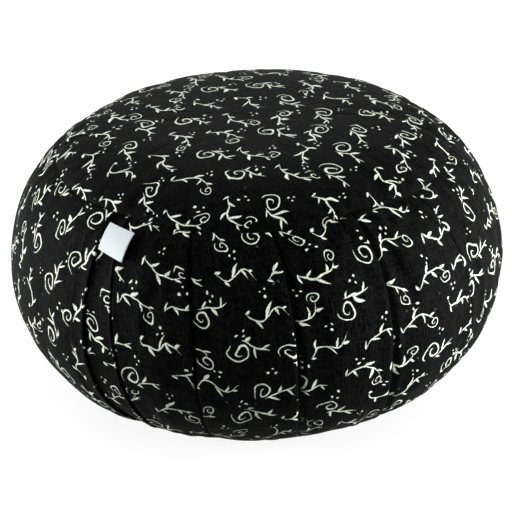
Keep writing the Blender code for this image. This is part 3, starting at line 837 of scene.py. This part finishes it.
motifSteps = [
    ("y", "MULTIPLY", "flatY", "facing"),
    ("isArched", "LESS_THAN", "kind", sprigPrint.arched),
    ("isCurled", "GREATER_THAN", "kind", sprigPrint.curled),
    ("isPlainOrArched", "SUBTRACT", 1.0, "isCurled"),
    ("isWavy", "SUBTRACT", "isPlainOrArched", "isArched"),
    ("archY", "ADD", "y", motifs.archLift),
    ("archTurn", "ARCTAN2", "x", "archY"),
    ("archS", "MULTIPLY", "archTurn", motifs.archRadius),
    ("archX2", "MULTIPLY", "x", "x"),
    ("archR2", "MULTIPLY_ADD", "archY", "archY", "archX2"),
    ("archR", "SQRT", "archR2"),
    ("archD", "SUBTRACT", "archR", motifs.archRadius),
    ("wavePlace", "MULTIPLY", "x", 2.0 * math.pi / motifs.waveLong),
    ("wave", "SINE", "wavePlace"),
    ("waveD", "MULTIPLY_ADD", "wave", -motifs.waveTall, "y"),
    ("tailS", "SUBTRACT", "x", motifs.tailAt[0]),
    ("tailD", "ADD", "y", -motifs.tailAt[1]),
    *chosenSteps("s", "archS", "x", "tailS"),
    *chosenSteps("d", "archD", "waveD", "tailD"),
    ("half", "MULTIPLY_ADD", "isCurled", motifs.tailHalf - stem.half, stem.half),
    ("pastEndX", "ADD", "x", -motifs.endAt[0]),
    ("endX", "DIVIDE", "pastEndX", motifs.endSize),
    ("endY", "MULTIPLY_ADD", "y", -1.0 / motifs.endSize, motifs.endAt[1] / motifs.endSize),
    ("bigX", "ADD", "x", -motifs.bigAt[0]),
    ("bigY", "ADD", "y", -motifs.bigAt[1]),
    *chosenSteps("curlX", "endX", motifs.noCurl, "bigX"),
    ("curlYArched", "MULTIPLY", "isArched", "endY"),
    ("curlY", "MULTIPLY_ADD", "isCurled", "bigY", "curlYArched"),
    *sprigSteps,
    *curlSteps,
    ("motif", "MINIMUM", "sprig", "curl"),
]

# Three dots in each gap between the motifs: place and radius in mm
seeds = [(1.9, 0.0, 0.7), (-1.4, 1.5, 0.6), (-1.0, -1.9, 0.5)]
seedNudge = 0.6


def inkOnCloth(tree, place):
    # how far a point of the cloth lies inside the print: 1 on the ink, 0 on the bare cloth
    wobble = addNode(tree, "TexNoise", place, None, 1.0 / sprigPrint.wobbleSize, 0.0, output=1,
                     noise_dimensions="2D")
    drift = {"place": place, "wobble": wobble}
    followSteps(tree, "VectorMath", drift, [
        ("shift", "SUBTRACT", "wobble", (0.5, 0.5, 0.5)),
        ("moved", "MULTIPLY_ADD", "shift", (sprigPrint.wobble,) * 3, "place"),
    ])
    drifted = dict(zip("uv", addNode(tree, "SeparateXYZ", drift["moved"]).node.outputs))
    motif = findCell(tree, drifted, (0.0, 0.0), 1.0, [
        ("eitherWay", "SUBTRACT", "luck", 0.5),
        ("turn", "MULTIPLY", "eitherWay", sprigPrint.turn),
        ("fine", "MULTIPLY", "kind", 97.0),  # its fine digits serve as one more chance
        ("chance", "FRACT", "fine"),
        ("flipped", "GREATER_THAN", "chance", 0.5),
        ("facing", "MULTIPLY_ADD", "flipped", -2.0, 1.0),
    ])
    halfCell = (sprigPrint.cellWide / 2.0, sprigPrint.cellTall / 2.0)
    gaps = findCell(tree, drifted, halfCell, seedNudge, [("turn", "MULTIPLY", "luck", 2.0 * math.pi)])
    motif["x"], motif["flatY"] = addNode(tree, "SeparateXYZ", motif["spot"]).node.outputs[:2]
    followSteps(tree, "Math", motif, motifSteps)
    edge = motif["motif"]
    for x, y, radius in seeds:
        near = addNode(tree, "VectorMath", gaps["spot"], (x, y, 0.0), output=1, operation="DISTANCE")
        dot = addNode(tree, "Math", near, radius, operation="SUBTRACT")
        edge = addNode(tree, "Math", edge, dot, operation="MINIMUM")
    rough = addNode(tree, "TexNoise", place, None, 1.0 / sprigPrint.roughSize, 1.0, noise_dimensions="2D")
    raw = addNode(tree, "Math", rough, sprigPrint.rough, edge, operation="MULTIPLY_ADD")
    middle, half = sprigPrint.rough / 2.0, sprigPrint.edge / 2.0
    return addNode(tree, "MapRange", raw, middle - half, middle + half, 1.0, 0.0)


# Cotton canvas: a plain weave, dull and dark, with a cream pigment print that sits on the threads.
# Its real threads are about 0.6 mm apart; they are drawn at 1.5 mm, as coarse as it takes to show.
canvasLook = Named(black="#000000", crown="#050505", cream="#dce5d4", creamThin="#b3bba5", threadPitch=1.5,
                   threadHeight=0.00040, weave=1.0, slubLong=16.0, slubWide=1.1, slub=1.4, thread=0.6,
                   uneven=(1.0, -0.3), cover=(0.55, 0.45), sway=2.2, swaySize=7.0, roughness=0.58,
                   specular=0.030, dull="#303030", bright="#ffffff", fluff="#3c3c37", fluffShare=0.0012)


def yarnSteps(yarn, across):
    return [
        (yarn + "Count", "DIVIDE", across, canvasLook.threadPitch),
        (yarn + "Number", "FLOOR", yarn + "Count"),
        (yarn + "Place", "MULTIPLY", yarn + "Count", math.pi),
        (yarn + "Wave", "SINE", yarn + "Place"),
        (yarn + "Round", "ABSOLUTE", yarn + "Wave"),
    ]


weaveSteps = [
    *yarnSteps("warp", "u"),
    *yarnSteps("weft", "v"),
    ("crossing", "MULTIPLY", "warpWave", "weftWave"),
    ("warpOver", "MULTIPLY_ADD", "crossing", 0.5, 0.5),
    ("weftOver", "SUBTRACT", 1.0, "warpOver"),
    ("warp", "MULTIPLY", "warpRound", "warpOver"),
    ("weft", "MULTIPLY", "weftRound", "weftOver"),
    ("threads", "ADD", "warp", "weft"),
]


def slubs(tree, place, alongWarp):
    # thick and thin stretches of yarn, long one way and narrow the other
    long, wide = 1.0 / canvasLook.slubLong, 1.0 / canvasLook.slubWide
    scale = (wide, long, 1.0) if alongWarp else (long, wide, 1.0)
    drawn = addNode(tree, "VectorMath", place, scale, operation="MULTIPLY")
    return addNode(tree, "TexNoise", drawn, None, 1.0, 2.0, noise_dimensions="2D")


skipped = (None,) * 5  # a Mix node's sockets between its share and its two colours


def blackCottonCanvas():
    material, tree, shader = startMaterial("blackCottonCanvas", canvasLook.black, canvasLook.roughness,
                                           canvasLook.specular)
    place = placeOnCloth(tree)
    drawn = addNode(tree, "VectorMath", place, (1.0 / sprigPrint.size,) * 3, operation="MULTIPLY")
    # painted shade: the print is left off in the folds' slits and under the flap's edge, so that they read
    # dark
    tucked = addNode(tree, "Attribute", attribute_name="tucked", output=2)
    printOutsideShade = addNode(tree, "Math", 1.0, tucked, operation="SUBTRACT")
    sway = addNode(tree, "TexNoise", place, None, 1.0 / canvasLook.swaySize, 1.0, output=1,
                   noise_dimensions="2D")
    swayed = addNode(tree, "VectorMath", sway, (canvasLook.sway,) * 3, place, operation="MULTIPLY_ADD")
    values = dict(zip("uv", addNode(tree, "SeparateXYZ", swayed).node.outputs))
    values["ink"] = addNode(tree, "Math", inkOnCloth(tree, drawn), printOutsideShade, operation="MULTIPLY")
    followSteps(tree, "Math", values, weaveSteps)
    values["warpSlub"], values["weftSlub"] = slubs(tree, place, True), slubs(tree, place, False)
    stitch = addNode(tree, "CombineXYZ", values["warpNumber"], values["weftNumber"])
    values["luck"] = addNode(tree, "TexWhiteNoise", stitch, noise_dimensions="2D")
    followSteps(tree, "Math", values, [
        ("slub", "ADD", "warpSlub", "weftSlub"),
        ("yarn", "MULTIPLY_ADD", "slub", canvasLook.slub, -canvasLook.slub),
        ("raised", "MULTIPLY_ADD", "threads", canvasLook.thread, "yarn"),
        ("uneven", "MULTIPLY_ADD", "luck", *canvasLook.uneven),
        ("cloth", "ADD", "raised", "uneven"),
        ("covered", "MULTIPLY_ADD", "cloth", *canvasLook.cover),
        ("fluff", "GREATER_THAN", "luck", 1.0 - canvasLook.fluffShare),
    ])
    colours = {name: linearColour(value) for name, value in vars(canvasLook).items() if "#" in str(value)}
    for name, share, first, second in (
        ("plain", "cloth", "black", "crown"),
        ("bare", "fluff", "plain", "fluff"),
        ("printed", "covered", "creamThin", "cream"),
        ("shown", "ink", "bare", "printed"),
        ("gleam", "cloth", "dull", "bright"),
    ):
        colours[name] = addNode(tree, "Mix", values[share], *skipped, colours[first], colours[second],
                                output=2, data_type="RGBA", clamp_factor=True)
    tree.links.new(colours["shown"], shader.inputs["Base Color"])
    tree.links.new(colours["gleam"], shader.inputs["Specular Tint"])
    bump = addNode(tree, "Bump", canvasLook.weave, canvasLook.threadHeight, None, values["cloth"])
    tree.links.new(bump, shader.inputs["Normal"])
    return material


canvas = blackCottonCanvas()

# Woven polyester tape: fine ribs across a tight cool-white warp, smoother and glossier than canvas.
# Its real ribs are about 0.3 mm apart; they are drawn at 0.8 mm, as coarse as it takes to show.
tapeLook = Named(white="#b5bdc0", shade="#a2aaad", ribPitch=0.8, ribHeight=0.00008, weave=0.5,
                 yarnScale=(0.25, 1.6, 1.0), yarn=0.8, roughness=0.50, specular=0.30, hem=1.3, hemWide=0.2,
                 hemDepth=0.45)


def whiteWovenTape():
    material, tree, shader = startMaterial("whiteWovenTape", tapeLook.white, tapeLook.roughness,
                                           tapeLook.specular)
    place = placeOnCloth(tree)
    values = dict(zip("uv", addNode(tree, "SeparateXYZ", place).node.outputs))
    spread = addNode(tree, "VectorMath", place, tapeLook.yarnScale, operation="MULTIPLY")
    values["yarn"] = addNode(tree, "TexNoise", spread, None, 1.0, 2.0, noise_dimensions="2D")
    half = tag.width / 2.0
    followSteps(tree, "Math", values, [
        ("ribPlace", "MULTIPLY", "v", math.pi / tapeLook.ribPitch),
        ("ribWave", "SINE", "ribPlace"),
        ("rib", "ABSOLUTE", "ribWave"),
        ("fromMiddle", "SUBTRACT", "u", (tag.clearance + half) / mm),
        ("offMiddle", "ABSOLUTE", "fromMiddle"),
        ("fromSide", "SUBTRACT", half / mm, "offMiddle"),
        ("fromHem", "SUBTRACT", "fromSide", tapeLook.hem),
        ("offHem", "ABSOLUTE", "fromHem"),
        ("onHem", "LESS_THAN", "offHem", tapeLook.hemWide),
        ("woven", "MULTIPLY_ADD", "yarn", tapeLook.yarn, "rib"),
        ("height", "MULTIPLY_ADD", "onHem", -tapeLook.hemDepth, "woven"),
    ])
    # the colour follows the tape's height: random yarn tone, plus painted shade that is darker in the rib
    # valleys and along the hem's groove
    shade, white = linearColour(tapeLook.shade), linearColour(tapeLook.white)
    shaded = addNode(tree, "Mix", values["height"], *skipped, shade, white, output=2, data_type="RGBA",
                     clamp_factor=True)
    tree.links.new(shaded, shader.inputs["Base Color"])
    bump = addNode(tree, "Bump", tapeLook.weave, tapeLook.ribHeight, None, values["height"])
    tree.links.new(bump, shader.inputs["Normal"])
    return material


tape = whiteWovenTape()

# Pieces
print("pleating and sewing the side band")
bandPiece = sewBand()
print("sewing the top and bottom panels")
topPiece = sewRoundPanel("top_round", 1, roundPanel.topTurn)
basePiece = sewRoundPanel("base_round", -1, roundPanel.baseTurn)
print("lapping the flap over the band")
flapPiece = sewFlap()
print("sewing in the tag")
tagPiece = sewTag()
for piece, node, slot, material in (
    (bandPiece, "side_band", "printed_canvas", canvas),
    (topPiece, "top_panel", "printed_canvas", canvas),
    (basePiece, "bottom_panel", "printed_canvas", canvas),
    (flapPiece, "band_flap", "printed_canvas", canvas),
    (tagPiece, "woven_tag", "woven_tag", tape),
):
    piece.data.materials.append(material)
    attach(piece, "root")
    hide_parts(node)
    print(piece.name, len(piece.data.polygons), "faces")

# Floor, light and camera. The camera sees the floor glow pale, the gloss of the cloth sees it dimmer,
# and the floor gives the cloth no other light.
print("setting the floor, the lamps and the camera")
studio = Named(floor="#959595", floorRoughness=0.9, floorSize=12.0, floorDrop=0.0002, floorGlow=0.80,
               floorInGloss=0.45, ambient=0.06, target=(0.0, 0.0, 0.1))
floorMaterial, floorTree, floorShader = startMaterial("paleFloor", studio.floor, studio.floorRoughness, 0.0)
floorShader.inputs["Emission Color"].default_value = (1.0, 1.0, 1.0, 1.0)
seenDirectly = addNode(floorTree, "LightPath")
glow = addNode(floorTree, "MapRange", seenDirectly, 0.0, 1.0, studio.floorInGloss, studio.floorGlow)
floorTree.links.new(glow, floorShader.inputs["Emission Strength"])
bpy.ops.mesh.primitive_plane_add(size=studio.floorSize, location=(0.0, 0.0, -studio.floorDrop))
floor = bpy.context.object
floor.name = "studioFloor"
floor.data.materials.append(floorMaterial)
floor.visible_diffuse = False

world = bpy.context.scene.world or bpy.data.worlds.new("studio")
bpy.context.scene.world = world
world.use_nodes = True
sky = world.node_tree
backdrop = sky.nodes["Background"]
backdrop.inputs[0].default_value = (1.0, 1.0, 1.0, 1.0)
seen = addNode(sky, "LightPath")
sky.links.new(addNode(sky, "MapRange", seen, 0.0, 1.0, studio.ambient, 1.0), backdrop.inputs[1])

# Softboxes: azimuth from the camera's side and height in degrees, size and distance in metres, and
# power in watts; the two low ones stand for light off the floor
lamps = tableOf(
    "name azimuth up size watts distance",
    ("leftPanel", -95.0, 6.0, (1.2, 0.5), 26.0, 1.7),
    ("leftFill", -65.0, 15.0, (1.2, 0.5), 14.5, 1.7),
    ("leftBack", -125.0, 25.0, (1.2, 1.2), 8.0, 1.7),
    ("leftLow", -80.0, -8.5, (0.6, 0.14), 2.0, 0.62),
    ("rightPanel", 80.0, 6.0, (1.2, 0.5), 35.0, 1.7),
    ("rightFill", 55.0, 15.0, (1.2, 0.5), 12.5, 1.7),
    ("rightBack", 120.0, 20.0, (1.2, 1.2), 11.5, 1.7),
    ("rightLow", 70.0, -8.5, (0.6, 0.14), 4.8, 0.62),
    ("backPanel", 180.0, 25.0, (1.2, 1.2), 7.5, 1.7),
    ("overheadPanel", 0.0, 90.0, (1.2, 1.2), 19.0, 1.7),
)
for lamp in lamps:
    light = bpy.data.lights.new(lamp.name, "AREA")
    light.shape, light.energy = "RECTANGLE", lamp.watts
    light.size, light.size_y = lamp.size
    turned, lifted = math.radians(lamp.azimuth), math.radians(lamp.up)
    level = math.cos(lifted)
    towards = Vector((math.sin(turned) * level, -math.cos(turned) * level, math.sin(lifted)))
    holder = bpy.data.objects.new(lamp.name, light)
    holder.location = Vector(studio.target) + towards * lamp.distance
    holder.visible_camera = False
    holder.rotation_euler = (-towards).to_track_quat("-Z", "Y").to_euler()
    bpy.context.scene.collection.objects.link(holder)

# The camera fitted to the photo's outline, with the girth's middle in its 512 pixels
photo = Named(elevation=26.583, distance=1.278, lens=121.377, sensor=36.0, roll=-2.225,
              middle=(256.63, 247.96), size=512.0)
tilt = math.radians(photo.elevation)
back = Vector((0.0, -math.cos(tilt), math.sin(tilt)))
right = Vector((1.0, 0.0, 0.0))
upward = back.cross(right)
rollAngle = math.radians(photo.roll)
right, upward = (math.cos(rollAngle) * right + math.sin(rollAngle) * upward,
                 math.cos(rollAngle) * upward - math.sin(rollAngle) * right)
perPixel = photo.sensor / photo.lens / photo.size * photo.distance
centre = Vector((0.0, 0.0, girthHeight))
station = centre + back * photo.distance
frameMiddle = photo.size / 2.0
aim = (centre - right * (photo.middle[0] - frameMiddle) * perPixel
       - upward * (frameMiddle - photo.middle[1]) * perPixel)
lookBack = (station - aim).normalized()
right = (right - lookBack * right.dot(lookBack)).normalized()
camera = bpy.data.objects.new("camera", bpy.data.cameras.new("camera"))
camera.data.lens, camera.data.sensor_width = photo.lens, photo.sensor
camera.location = station
upward = lookBack.cross(right)
camera.rotation_euler = Matrix((right, upward, lookBack)).transposed().to_euler()
bpy.context.scene.collection.objects.link(camera)
bpy.context.scene.camera = camera
bpy.context.scene.view_settings.view_transform = "Standard"
